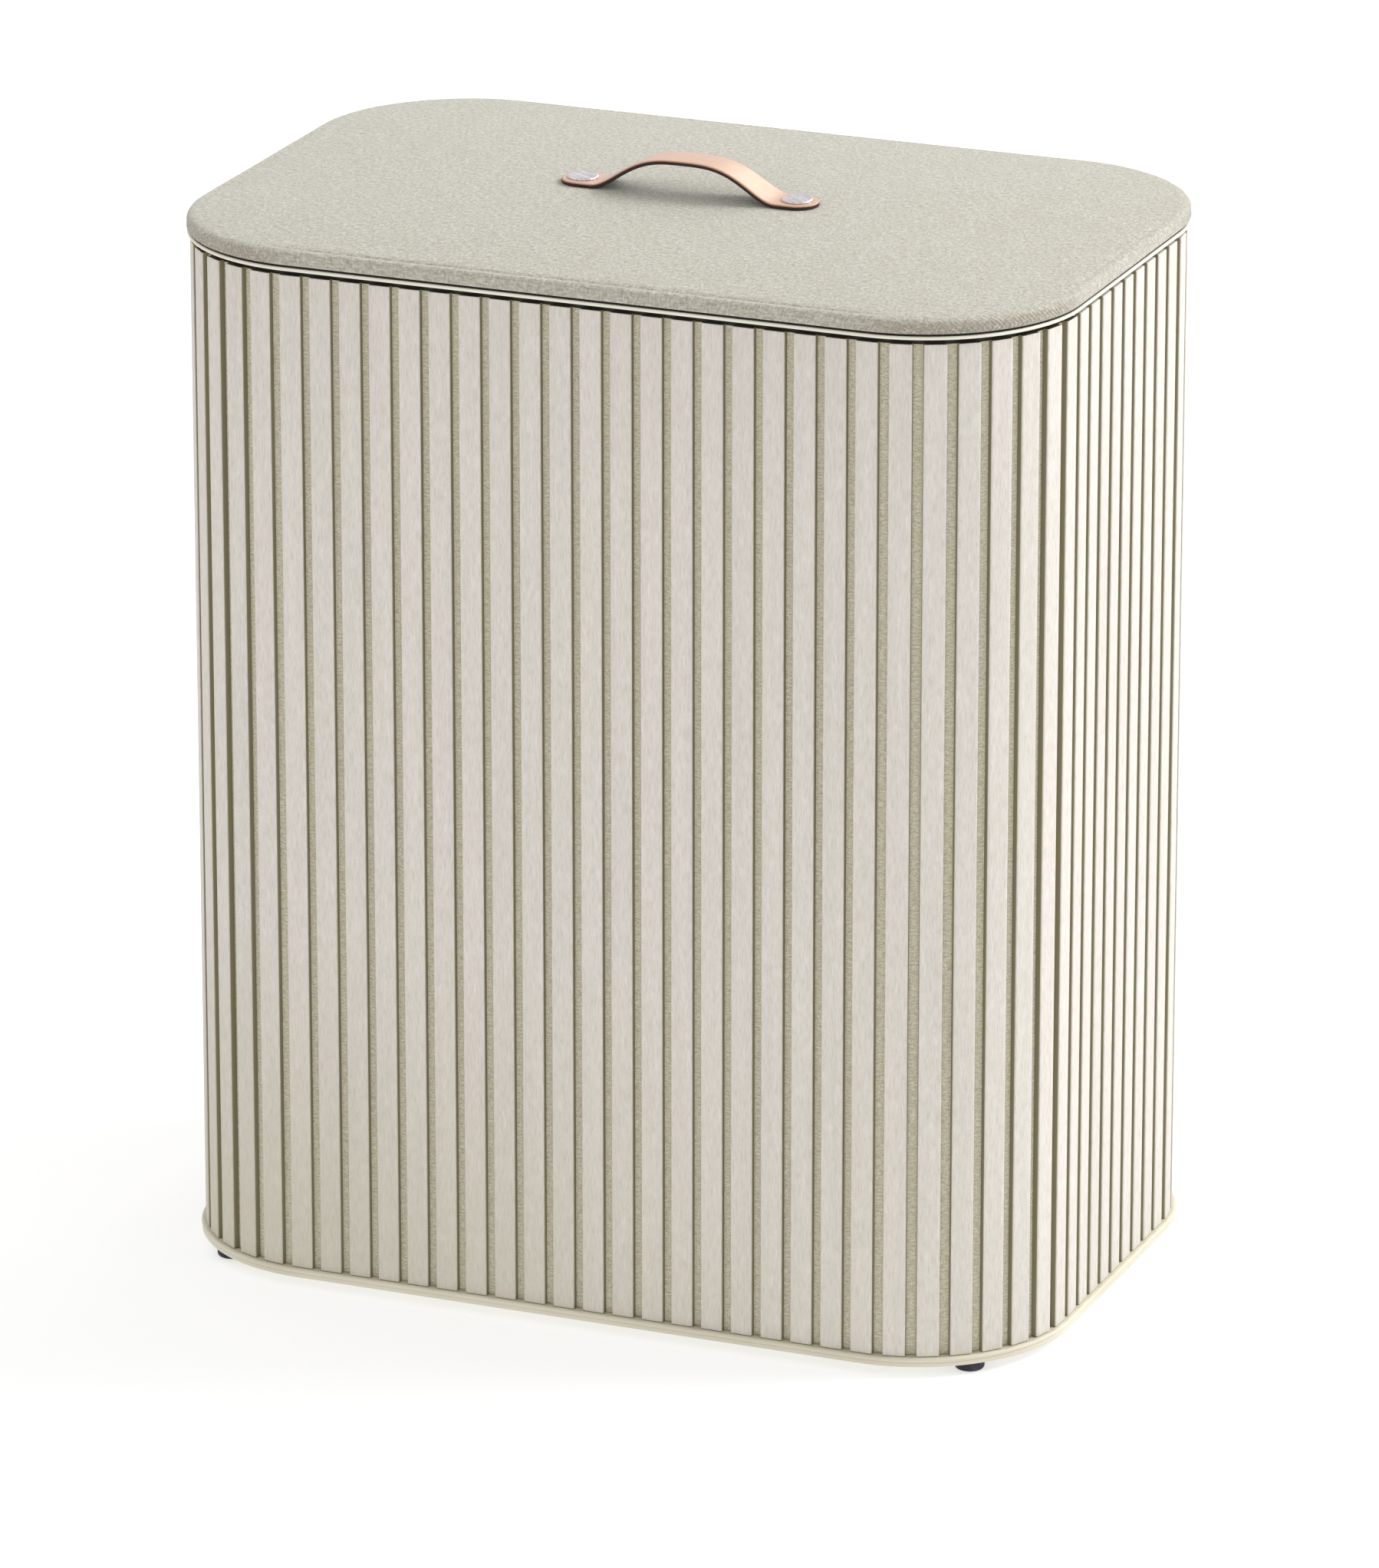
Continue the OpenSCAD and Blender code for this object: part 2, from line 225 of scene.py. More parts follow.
def backing_finish():
    """The woven ribbon of backing between the slats, khaki with paler slubs."""
    f = Finish("backing_weave", Roughness=0.92, Sheen_Weight=0.15, Sheen_Roughness=0.5)
    at = f.attribute("cloth_at")
    across, along, _ = f.split(at)
    height = weave(f, across, along, 0.62 * MM)
    slub = f.noise(f.scaled(at, 380, 1150, 1), detail=3, roughness=0.65)
    fleck = f.noise(f.scaled(at, 1500, 1700, 1), detail=1)
    base = f.mix(f.remap(slub, 0.38, 0.62, 0, 1), linear(206, 199, 172), linear(240, 234, 214))
    base = f.mix(f.remap(fleck, 0.55, 0.72, 0, 0.7), base, linear(170, 162, 130))
    f.colour(base)
    f.bump(f.do("ADD", height, slub), 0.22 * MM, 0.7)
    return f.material


def lid_finish():
    """Linen with mixed light and dark yarns, fanned into fine gathers round the corners, where painted shade darkens
    the edge.
    """
    f = Finish("lid_linen", Roughness=0.9, Sheen_Weight=0.4, Sheen_Roughness=0.4)
    at = f.attribute("cloth_at")
    across, along, _ = f.split(at)
    edge = f.split(f.attribute("edge_at"))
    warp = f.noise(f.scaled(at, 1000, 340, 1), detail=3, roughness=0.65)
    weft = f.noise(f.scaled(at, 280, 1000, 1), detail=3, roughness=0.65)
    fleck = f.noise(f.scaled(at, 800, 800, 1), detail=2)
    speck = f.noise(f.scaled(at, 1300, 1300, 1), detail=1)
    cloud = f.noise(f.scaled(at, 60, 60, 1), detail=3)
    yarn = f.do("ADD", f.remap(warp, 0.3, 0.7, -0.5, 0.5), f.remap(weft, 0.3, 0.7, -0.5, 0.5))
    base = f.mix(f.remap(yarn, -0.45, 0.45, 0, 1), linear(159, 154, 138), linear(202, 198, 185))
    base = f.mix(f.remap(fleck, 0.56, 0.7, 0, 0.4), base, linear(232, 229, 220))
    base = f.mix(f.remap(speck, 0.6, 0.72, 0, 0.35), base, linear(146, 140, 121))
    base = f.mix(f.remap(cloud, 0.35, 0.65, 0, 0.18), base, linear(162, 156, 140))
    slope = f.do("ABSOLUTE", f.do("SUBTRACT", edge[1], 5.6 * MM))
    gather = f.do("SINE", f.do("MULTIPLY", f.do("ADD", edge[0], slope), 2 * math.pi / (2.1 * MM)))
    near = f.remap(slope, 2.0 * MM, 4.5 * MM, 1, 0)
    near = f.do("MULTIPLY", near, edge[2])
    gather = f.do("MULTIPLY", gather, near)
    # Painted shade: the rounded edge is darker brown at the corners, over the gathers
    painted_corner_shade = f.do("MULTIPLY", near, f.remap(fleck, 0.35, 0.6, 0.5, 0.15))
    f.colour(f.mix(painted_corner_shade, base, linear(132, 118, 94)))
    crossings = f.do("MULTIPLY", weave(f, across, along, 0.55 * MM), 0.5)
    cloth = f.do("ADD", crossings, f.do("MULTIPLY", yarn, 0.8))
    f.bump(f.do("ADD", cloth, f.do("MULTIPLY", gather, 1.4)), 0.22 * MM, 0.65)
    return f.material


def lining_finish():
    """Plain cotton lining: a fine even weave with faint crumple marks."""
    f = Finish("cotton_lining", Roughness=0.88, Sheen_Weight=0.1)
    at = f.attribute("cloth_at")
    across, along, _ = f.split(at)
    yarn = f.noise(f.scaled(at, 1100, 160, 1), detail=2)
    cloud = f.noise(f.scaled(at, 22, 22, 1), detail=4)
    base = f.mix(f.remap(yarn, 0.35, 0.65, 0, 1), linear(204, 198, 180), linear(222, 217, 202))
    f.colour(f.mix(f.remap(cloud, 0.4, 0.65, 0, 0.25), base, linear(190, 183, 163)))
    f.bump(f.do("ADD", weave(f, across, along, 0.5 * MM), f.do("MULTIPLY", cloud, 6)), 0.15 * MM, 0.6)
    return f.material


def mat_finish():
    """Pressed felt: matted fibres with pale and dark flecks."""
    f = Finish("mat_felt", Roughness=0.95, Sheen_Weight=0.25, Sheen_Roughness=0.6)
    at = f.place()
    fibre = f.noise(f.scaled(at, 900, 900, 900), detail=5, roughness=0.7)
    cloud = f.noise(f.scaled(at, 25, 25, 25), detail=3)
    base = f.mix(f.remap(fibre, 0.35, 0.65, 0, 1), linear(164, 157, 136), linear(196, 190, 170))
    f.colour(f.mix(f.remap(cloud, 0.4, 0.7, 0, 0.3), base, linear(150, 143, 121)))
    f.bump(fibre, 0.5 * MM, 0.6)
    return f.material


def foam_finish():
    """Open-cell foam, cream, with pin-prick cells."""
    f = Finish("cream_foam", Roughness=0.95)
    cell = f.cells(f.place(), 1400)
    f.colour(f.mix(f.remap(cell, 0.1, 0.6, 0, 1), linear(206, 196, 160), linear(236, 229, 204)))
    f.bump(cell, 0.3 * MM, 0.7)
    return f.material


def board_finish():
    """Fibreboard: tan, with fine chips."""
    f = Finish("fibreboard", Roughness=0.85)
    chip = f.noise(f.scaled(f.place(), 700, 700, 260), detail=4, roughness=0.7)
    f.colour(f.mix(f.remap(chip, 0.35, 0.65, 0, 1), linear(150, 124, 88), linear(188, 163, 124)))
    f.bump(chip, 0.15 * MM, 0.5)
    return f.material


def moulded_finish(name, light, dark, roughness):
    """Satin moulding with a faint texture and slightly uneven gloss."""
    f = Finish(name, Specular_IOR_Level=0.45)
    at = f.place()
    grain = f.noise(f.scaled(at, 1400, 1400, 1400), detail=2)
    cloud = f.noise(f.scaled(at, 18, 18, 18), detail=3)
    f.colour(f.mix(f.remap(cloud, 0.35, 0.65, 0, 1), light, dark))
    f.rough(f.remap(grain, 0.3, 0.7, roughness - 0.06, roughness + 0.06))
    f.bump(grain, 0.05 * MM, 0.3)
    return f.material


def rubber_finish(name, clean, dusty):
    """Dark rubber with a dusty bloom."""
    f = Finish(name, Specular_IOR_Level=0.3)
    dust = f.noise(f.scaled(f.place(), 260, 260, 260), detail=4)
    f.colour(f.mix(f.remap(dust, 0.45, 0.7, 0, 1), clean, dusty))
    f.rough(f.remap(dust, 0.3, 0.7, 0.45, 0.7))
    f.bump(dust, 0.1 * MM, 0.3)
    return f.material


def leather_finish():
    """Natural vegetable-tanned leather: pinkish at one end to golden at the other, dark burnished edges."""
    f = Finish("tan_leather", Specular_IOR_Level=0.6, Coat_Weight=0.15, Coat_Roughness=0.32)
    at = f.attribute("cloth_at")
    edge = f.split(f.attribute("edge_at"))
    pebble = f.cells(f.scaled(at, 1, 1.3, 1), 1500)
    fibre = f.noise(f.scaled(at, 260, 900, 1), detail=4, roughness=0.6)
    cloud = f.noise(f.scaled(at, 55, 90, 1), detail=3)
    golden = f.remap(f.split(at)[0], -20 * MM, 35 * MM, 0, 0.8)
    golden = f.do("ADD", golden, f.remap(cloud, 0.3, 0.7, -0.25, 0.25))
    base = f.mix(golden, linear(210, 173, 156), linear(205, 171, 138))
    base = f.mix(f.remap(fibre, 0.5, 0.75, 0, 0.35), base, linear(186, 146, 120))
    wobble = f.remap(fibre, 0.3, 0.7, -0.08 * MM, 0.08 * MM)
    height = f.do("ADD", edge[1], wobble)
    bevel = f.remap(f.do("ADD", edge[0], wobble), 0.3 * MM, 1.0 * MM, 0.7, 0)
    base = f.mix(bevel, base, linear(188, 132, 98))
    side = f.remap(height, 1.38 * MM, 1.62 * MM, 1, 0)
    f.colour(f.mix(side, base, linear(50, 22, 11)))
    f.rough(f.do("ADD", f.remap(fibre, 0.3, 0.7, 0.36, 0.5), f.do("MULTIPLY", side, 0.35)))
    f.bump(f.do("ADD", f.do("MULTIPLY", pebble, -1.0), fibre), 0.12 * MM, 0.4)
    return f.material


def steel_finish(name, tint, roughness):
    """Brushed nickel steel: fine scratches one way, with painted reflection streaks in lighter and darker bands."""
    f = Finish(name, Metallic=1.0)
    brushed = f.node("VectorRotate", {"Vector": f.place(), "Angle": 0.6}, rotation_type="Z_AXIS").outputs[0]
    scratch = f.noise(f.scaled(brushed, 260, 3800, 260), detail=4, roughness=0.6)
    reflection_band = f.noise(f.scaled(brushed, 110, 900, 110), detail=3, roughness=0.6)
    # Painted reflection: the colour's lighter and darker streaks stand in for brushed reflections
    share = f.do("ADD", f.remap(reflection_band, 0.35, 0.65, 0, 1), f.remap(scratch, 0.3, 0.7, -0.35, 0.35))
    f.colour(f.mix(share, linear(*[v - 48 for v in tint]), linear(*tint)))
    f.rough(f.remap(scratch, 0.3, 0.7, roughness - 0.07, roughness + 0.1))
    f.bump(scratch, 0.02 * MM, 0.5)
    return f.material


# ---- meshes ----

def piece(name, points, faces, body, materials, attributes=None, smooth=True, slots=None):
    """Makes a mesh piece that rides on a body. attributes are vectors per point, slots material numbers per face."""
    mesh = bpy.data.meshes.new(name)
    mesh.from_pydata([tuple(p) for p in points], [], faces)
    for key, values in (attributes or {}).items():
        layer = mesh.attributes.new(key, "FLOAT_VECTOR", "POINT")
        layer.data.foreach_set("vector", np.asarray(values, np.float32).ravel())
    for material in materials if isinstance(materials, list) else [materials]:
        mesh.materials.append(material)
    if slots is not None:
        mesh.polygons.foreach_set("material_index", slots)
    mesh.polygons.foreach_set("use_smooth", [smooth] * len(mesh.polygons))
    made = bpy.data.objects.new(name, mesh)
    bpy.context.scene.collection.objects.link(made)
    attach(made, body)
    return made


def bridge(rows, count, start=0, closed=True):
    """Faces between successive rows of count points."""
    last = count if closed else count - 1
    return [
        (start + r * count + c, start + r * count + (c + 1) % count,
         start + (r + 1) * count + (c + 1) % count, start + (r + 1) * count + c)
        for r in range(rows - 1) for c in range(last)
    ]


def solidify(made, thickness, offset=-1):
    """Gives a cloth its thickness, behind the modelled face, or in front of it with an offset of 1."""
    modifier = made.modifiers.new("thickness", "SOLIDIFY")
    modifier.thickness = thickness
    modifier.offset = offset


CORNER_EASE_OUT = 14 * MM               # how far a corner's puckers reach along the straights
CORNER_EASE = 34 * MM                   # the length over which they come to full strength


class Outline:
    """Samples round the bin, counter-clockwise from the left end of the front."""

    def __init__(self, step, corner_steps):
        signs = [(-1, -1), (1, -1), (1, 1), (-1, 1)]
        rows = []
        for k in range(4):
            a, b = signs[k], signs[(k + 1) % 4]
            length = 2 * (CORNER_X if k % 2 == 0 else CORNER_Y)
            steps = max(1, round(length / step))
            for i in range(steps):
                rows.append((*a, *b, i / steps, 90 * k - 90, length * i / steps, length, 0))
            for i in range(corner_steps):
                rows.append((*b, *b, 0, 90 * (k + i / corner_steps) - 90, 0, 0, i / corner_steps))
        table = np.array(rows, float)
        self.a, self.b = table[:, 0:2], table[:, 2:4]
        self.share = table[:, 4:5]
        angle = np.radians(table[:, 5])
        self.normal = np.stack([np.cos(angle), np.sin(angle)], 1)
        self.count = len(rows)
        flat = self.at(0)
        step_to = np.linalg.norm(np.roll(flat, -1, 0) - flat, axis=1)
        self.along = np.concatenate([[0], np.cumsum(step_to)[:-1]])
        self.length = step_to.sum()
        # Signed distance along the outline from the middle of the nearest corner
        middles = self.along[np.isclose(table[:, 8], 0.5)]
        gap = (self.along[:, None] - middles + self.length / 2) % self.length - self.length / 2
        self.from_corner = gap[np.arange(self.count), np.abs(gap).argmin(axis=1)]
        # How much of a corner each sample is: 1 well inside it, easing to 0 along the straights
        inside = np.where(table[:, 7] > 0, np.minimum(table[:, 6], table[:, 7] - table[:, 6]), 0)
        into = np.where(table[:, 7] > 0, 0, np.minimum(table[:, 8], 1 - table[:, 8]) * math.pi / 2 * CORNER_R)
        reach = (into - inside + CORNER_EASE_OUT) / CORNER_EASE
        self.corner = np.clip(reach, 0, 1) ** 2 * (3 - 2 * np.clip(reach, 0, 1))

    def at(self, grow, radius=None):
        """Plan points that distance outside the slat faces, with their own corner radius."""
        grow = np.broadcast_to(np.asarray(grow, float), (self.count,))[:, None]
        radius = CORNER_R + grow if radius is None else np.asarray(radius, float).reshape(-1, 1)
        half = np.concatenate([HALF_W + grow - radius, HALF_D + grow - radius], 1)
        middle = (self.a * (1 - self.share) + self.b * self.share) * half
        return middle + self.normal * radius


def tapered_radius(grow):
    """Corner radius of a ring inside the lid, which shrinks towards the middle."""
    return CORNER_R * (1 + np.asarray(grow) / HALF_D)


# ---- slats ----

SLAT_HALF = 4.9 * MM
SLAT_T = 2.9 * MM
SLAT_START = 1.95 * MM
SHELL_OUT = 4.0 * MM
SLAT_COUNT = 86
CORNER_L = (CORNER_R - SHELL_OUT) * math.pi / 2
SIDES = [2 * CORNER_X, 2 * CORNER_Y] * 2
WRAP = sum(SIDES) + 4 * CORNER_L
RUNS = [
    "slats_front", "slats_front_right", "slats_right", "slats_back_right",
    "slats_back", "slats_back_left", "slats_left", "slats_front_left",
]
# Half of a slat's section, from its back to its middle: distance from the middle, depth behind the face
SLAT_EDGE = np.array([
    (4.9, 2.9), (4.9, 1.6), (4.9, 0.62), (4.82, 0.3), (4.62, 0.1), (4.3, 0.01), (3.3, 0.0), (1.5, 0.0),
]) * MM


def slat_section():
    right = SLAT_EDGE[::-1]
    return np.concatenate([SLAT_EDGE * (-1, 1), right])


def build_slats():
    rng = random.Random(11)
    section = slat_section()
    width = len(section)
    levels = [(0, 0.35), (0.12, 0.12), (0.4, 0)]
    tall = SLAT_HIGH - SLAT_LOW
    stations = [(z * MM, cut * MM) for z, cut in levels]
    stations += [(tall * share, 0) for share in (0.2, 0.4, 0.6, 0.8)]
    stations += [(tall - z * MM, cut * MM) for z, cut in reversed(levels)]
    corners = [(-CORNER_X, -CORNER_Y), (CORNER_X, -CORNER_Y), (CORNER_X, CORNER_Y), (-CORNER_X, CORNER_Y)]
    parts = {run: ([], [], [], [], []) for run in RUNS}
    starts = [sum(SIDES[:k]) + k * CORNER_L for k in range(4)]
    for i in range(SLAT_COUNT):
        place = SLAT_START + i * WRAP / SLAT_COUNT
        k = max(j for j in range(4) if starts[j] <= place)
        along = place - starts[k]
        if along < SIDES[k]:
            run, centre, turn, shift = RUNS[2 * k], corners[k], 90 * k, along
        else:
            run, centre, shift = RUNS[2 * k + 1], corners[(k + 1) % 4], 0
            turn = 90 * (k + (along - SIDES[k]) / CORNER_L)
        angle = math.radians(turn)
        twist = math.radians(rng.uniform(-0.25, 0.25))
        sink = rng.uniform(0, 0.08) * MM
        tone, tint = rng.gauss(1, 0.011), rng.uniform(0.35, 0.65)
        offset = (rng.uniform(-9, 9), rng.uniform(-9, 9))
        # Painted light: the slat ends on the right and back right are painted paler, where light falls on them under
        # the rim
        painted_lit_ends = 0.6 if run in ("slats_right", "slats_back_right") else 0
        points, faces, grain, tones_and_lit_ends, slots = parts[run]
        start = len(points)
        for z, cut in stations:
            bow = 0.06 * MM * math.sin(math.pi * z / tall) * (tint - 0.5)
            for u, depth in section:
                uu = u * (1 - cut / SLAT_HALF)
                dd = depth + (cut if depth < 2 * MM else 0)
                x = shift + uu * math.cos(twist) + bow
                y = -CORNER_R + dd + sink * (1 - depth / SLAT_T) + uu * math.sin(twist) * (1 - depth / SLAT_T)
                points.append((
                    centre[0] + x * math.cos(angle) - y * math.sin(angle),
                    centre[1] + x * math.sin(angle) + y * math.cos(angle),
                    SLAT_LOW + z,
                ))
                grain.append((u + offset[0], z + offset[1], depth))
                tones_and_lit_ends.append((tone, tint, painted_lit_ends))
        faces += bridge(len(stations), width, start)
        slots += [0] * (len(stations) - 1) * width
        last = start + (len(stations) - 1) * width
        faces.append(tuple(range(start + width - 1, start - 1, -1)))
        faces.append(tuple(range(last, last + width)))
        slots += [1, 1]
    finishes = [slat_finish(), slat_end_finish()]
    for run, (points, faces, grain, tones_and_lit_ends, slots) in parts.items():
        made = piece(run.replace("slats", "wood_slats"), points, faces, "bin", finishes,
                     {"grain_at": grain, "slat_tone_and_lit_ends": tones_and_lit_ends}, smooth=True, slots=slots)
        made.data.set_sharp_from_angle(angle=math.radians(50))
        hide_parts(run)


# ---- wall cloths ----

SEAM_GAP = 0.06 * MM                    # left between a cloth's two ends where they meet
LINING_IN = 7.05 * MM                   # from the slat faces to the lining
LINING_T = 0.7 * MM


def tube(name, outline, rows, finish, ripple=None):
    """A cloth round the bin. rows are (grow, height); ripple moves a point along its normal."""
    points, cloth = [], []
    for r, (grow, z) in enumerate(rows):
        push = np.zeros(outline.count)
        if ripple is not None:
            push = np.array([ripple(s, z) for s in outline.along])
        plan = outline.at(grow + push)
        points += [(x, y, z) for x, y in plan]
        cloth += [(s, z, 0) for s in outline.along]
    # A last column ends just short of the first, so that the cloth has two ends that meet at a seam
    count = outline.count
    wide_points, wide_cloth = [], []
    for r in range(len(rows)):
        row = [Vector(point) for point in points[r * count:(r + 1) * count]]
        wide_points += row + [row[0] + (row[-1] - row[0]).normalized() * SEAM_GAP]
        wide_cloth += cloth[r * count:(r + 1) * count] + [(outline.length, rows[r][1], 0)]
    return piece(name, wide_points, bridge(len(rows), count + 1, closed=False), "bin", finish,
                 {"cloth_at": wide_cloth})


def build_backing():
    lo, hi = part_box("felt_backing")
    outline = Outline(6 * MM, 28)
    grow = -SLAT_T
    levels = [lo.z, lo.z + 0.4 * MM] + list(np.linspace(lo.z + 3 * MM, hi.z - 3 * MM, 20)) + [hi.z - 0.4 * MM, hi.z]
    soft = [0.25 * MM, 0] + [0] * 20 + [0, 0.25 * MM]
    rows = [(grow - cut, z) for cut, z in zip(soft, levels)]
    made = tube("backing_cloth", outline, rows, backing_finish())
    solidify(made, SHELL_OUT - SLAT_T)
    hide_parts("felt_backing")


def lining_ripple(s, z):
    """Slack in the lining, fading out under the rim and over the mat."""
    fade = max(0.0, min(1.0, (0.435 - z) / 0.05)) * max(0.0, min(1.0, (z - 0.02) / 0.04))
    long_wave = noise.noise(Vector((s * 9, z * 3.2, 1.7)))
    short_wave = noise.noise(Vector((s * 31, z * 11, 5.1)))
    return -fade * MM * max(0.0, 0.9 + 1.1 * long_wave + 0.5 * short_wave)


def build_lining():
    lo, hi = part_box("wall_lining")
    outline = Outline(5 * MM, 26)
    levels = np.linspace(lo.z, hi.z, 58)
    rows = [(-LINING_IN, z) for z in levels]
    made = tube("lining_cloth", outline, rows, lining_finish(), lining_ripple)
    for polygon in made.data.polygons:
        polygon.flip()
    solidify(made, LINING_T, offset=1)
    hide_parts("wall_lining")


def build_mat():
    lo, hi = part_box("floor_mat")
    outline = Outline(7 * MM, 20)
    edge = hi.x - HALF_W
    rows = [(edge - 0.9 * MM, lo.z), (edge - 0.1 * MM, lo.z + 0.7 * MM), (edge, lo.z + 1.5 * MM),
            (edge - 0.15 * MM, hi.z - 0.7 * MM), (edge - 0.9 * MM, hi.z)]
    side_rows = len(rows)
    for part in np.linspace(0.04, 1, 18):
        rows.append((edge - part * (HALF_D - 12 * MM), hi.z))
    points = []
    for r, (grow, z) in enumerate(rows):
        radius = CORNER_R + edge
        if r >= side_rows:
            radius = radius * max(0.02, (HALF_D + grow) / (HALF_D + edge))
        plan = outline.at(grow, np.full(outline.count, radius))
        for x, y in plan:
            sag = 0.35 * MM * noise.noise(Vector((x * 14, y * 14, 3))) if r >= side_rows else 0
            points.append((x, y, z - abs(sag)))
    count = outline.count
    faces = bridge(len(rows), count)
    faces.append(tuple(range(count - 1, -1, -1)))
    faces.append(tuple(range((len(rows) - 1) * count, len(rows) * count)))
    made = piece("floor_mat_felt", points, faces, "bin", mat_finish())
    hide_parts("floor_mat")


# ---- lid ----

CROWN, CROWN_END = 4.6 * MM, 122 * MM
EDGE_H = 6.8 * MM
# The cover's section from under the board, round the edge, to the top: distance outside the slat faces and
# height over the lid's underside, first along the sides, where a crease runs behind the edge, then at a corner
COVER_SECTION = [
    ((-13.6, 0.45), (-13.6, 0.45)), ((-9, 0.1), (-9, 0.1)), ((-3, 0), (-3, 0)), ((-1.2, 0.02), (-1.2, 0.02)),
    ((-0.2, 0.08), (-0.2, 0.08)), ((0.5, 0.18), (0.5, 0.18)), ((0.95, 0.34), (0.95, 0.34)),
    ((1.2, 0.62), (1.2, 0.62)), ((1.3, 1.08), (1.28, 1.08)), ((1.2, 1.7), (1.2, 1.7)), ((1.05, 2.5), (1.12, 2.5)),
    ((1.08, 3.5), (1.12, 3.5)), ((1.12, 4.2), (1.1, 4.2)), ((1.0, 4.9), (0.9, 4.95)), ((0.55, 5.55), (0.45, 5.6)),
    ((-0.1, 6.02), (-0.2, 6.1)), ((-0.9, 6.32), (-0.95, 6.48)), ((-1.6, 6.42), (-1.65, 6.72)),
    ((-2.3, 6.36), (-2.3, 6.86)), ((-2.9, 6.2), (-2.9, 6.95)), ((-3.25, 6.18), (-3.25, 6.99)),
    ((-3.5, 6.32), (-3.5, 7.02)), ((-3.9, 6.62), (-3.9, 7.06)), ((-4.5, 6.87), (-4.5, 7.1)),
    ((-5.6, 7.12), (-5.6, 7.19)),
]
COVER_HEM = 2                           # the row where the hem leaves the lid's underside
PUCKER_ROWS = range(6, 24)              # the rows from the hem over the edge that pucker
COVER_RIDGE = 14                        # the row on the ridge, where the weave's coordinates turn over
WAVE_ROW = 22                           # the first row of the top's slight waves
COVER_T = 0.7 * MM


def crown_height(grow):
    part = np.clip(-np.asarray(grow) / CROWN_END, 0, 1)
    return EDGE_H + CROWN * (1 - (1 - part) ** 2)


def build_cover():
    outline = Outline(3.4 * MM, 72)
    corner = outline.corner
    rows, grows = [], []
    for side, bend in COVER_SECTION:
        grow = (side[0] + (bend[0] - side[0]) * corner) * MM
        rows.append((grow, (side[1] + (bend[1] - side[1]) * corner) * MM))
    for part in np.concatenate([np.linspace(7.5, 30, 7), np.linspace(36, 129, 15)]):
        grow = np.full(outline.count, -part * MM)
        rows.append((grow, crown_height(grow)))
    # Arc length across the section, for the weave to follow the cloth round the edge
    section = np.array([[g.mean(), h.mean()] for g, h in rows])
    arc = np.concatenate([[0], np.cumsum(np.linalg.norm(np.diff(section, axis=0), axis=1))])
    flat_grow = -(arc - arc[COVER_RIDGE]) + section[COVER_RIDGE, 0]
    points, cloth, edge = [], [], []
    for r, (grow, height) in enumerate(rows):
        if r in PUCKER_ROWS:
            pucker = np.array([
                noise.noise(Vector((x * 160, y * 160, r * 0.25))) * (0.3 + 0.7 * c) * 0.16
                + noise.noise(Vector((x * 38, y * 38, r * 0.1 + 7.5))) * 0.12
                for (x, y), c in zip(outline.at(0), corner)
            ]) * MM
            grow = grow + pucker * (0.5 if r < 12 else 1)
        plan = outline.at(grow, tapered_radius(grow))
        wave = np.zeros(outline.count)
        if r >= WAVE_ROW:
            wave = np.array([noise.noise(Vector((x * 17, y * 17, 2.0))) for x, y in plan]) * 0.28 * MM
            wave *= min(1, (r - WAVE_ROW + 1) / 6)
        flat = np.full(outline.count, flat_grow[r])
        laid = outline.at(flat, tapered_radius(flat))
        for i, (x, y) in enumerate(plan):
            dimple = sum(math.exp(-(((x - sx * RIVET_X) / (11 * MM)) ** 2 + (y / (12 * MM)) ** 2)) for sx in (-1, 1))
            points.append((x, y, LID_Z + height[i] + wave[i] * (1 - min(1, dimple)) - 0.1 * MM * dimple))
            cloth.append((laid[i][0], laid[i][1], 0))
            edge.append((outline.from_corner[i], arc[r] - arc[COVER_HEM], corner[i]))
    count = outline.count
    faces = bridge(len(rows), count)
    faces.append(tuple(range((len(rows) - 1) * count, len(rows) * count)))
    made = piece("lid_fabric_cover", points, faces, "lid", lid_finish(),
                 {"cloth_at": cloth, "edge_at": edge})
    solidify(made, COVER_T)
    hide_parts("lid_cover")


def build_foam():
    outline = Outline(8 * MM, 16)
    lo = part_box("lid_foam")[0]
    inner = 1.0 * MM
    rows = [(-0.3 * MM, lo.z), (-0.2 * MM, lo.z + 0.5 * MM), (-1.1 * MM, LID_Z + 4.8 * MM),
            (-2.1 * MM, LID_Z + 5.4 * MM), (-3.6 * MM, LID_Z + 5.0 * MM), (-5.2 * MM, LID_Z + 5.9 * MM)]
    for part in np.linspace(8, 129, 18):
        rows.append((-part * MM, LID_Z + float(crown_height(-part * MM)) - inner - 0.15 * MM))
    points = []
    for grow, z in rows:
        plan = outline.at(grow, tapered_radius(np.full(outline.count, grow)))
        points += [(x, y, z) for x, y in plan]
    count = outline.count
    faces = bridge(len(rows), count)
    faces.append(tuple(range(count - 1, -1, -1)))
    faces.append(tuple(range((len(rows) - 1) * count, len(rows) * count)))
    made = piece("lid_foam_pad", points, faces, "lid", foam_finish())
    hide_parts("lid_foam")


def build_lid_lining():
    lo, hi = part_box("lid_lining")
    outline = Outline(6 * MM, 18)
    edge = hi.x - HALF_W
    points, cloth = [], []
    rows = [edge] + [edge - part * MM for part in (0.8, 2.5, 6, 11, 17, 25, 36, 50, 66, 84, 100, 115)]
    for r, grow in enumerate(rows):
        plan = outline.at(grow, tapered_radius(np.full(outline.count, grow)))
        for x, y in plan:
            drop = 0.18 * MM * noise.noise(Vector((x * 20, y * 20, 9))) if r > 4 else 0
            points.append((x, y, lo.z + 0.05 * MM + abs(drop)))
            cloth.append((x, y, 0))
    count = outline.count
    faces = bridge(len(rows), count)
    faces.append(tuple(range((len(rows) - 1) * count, len(rows) * count)))
    made = piece("lid_lining_cloth", points, faces, "lid", lining_finish(), {"cloth_at": cloth})
    solidify(made, 0.5 * MM)
    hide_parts("lid_lining")


# ---- handle ----

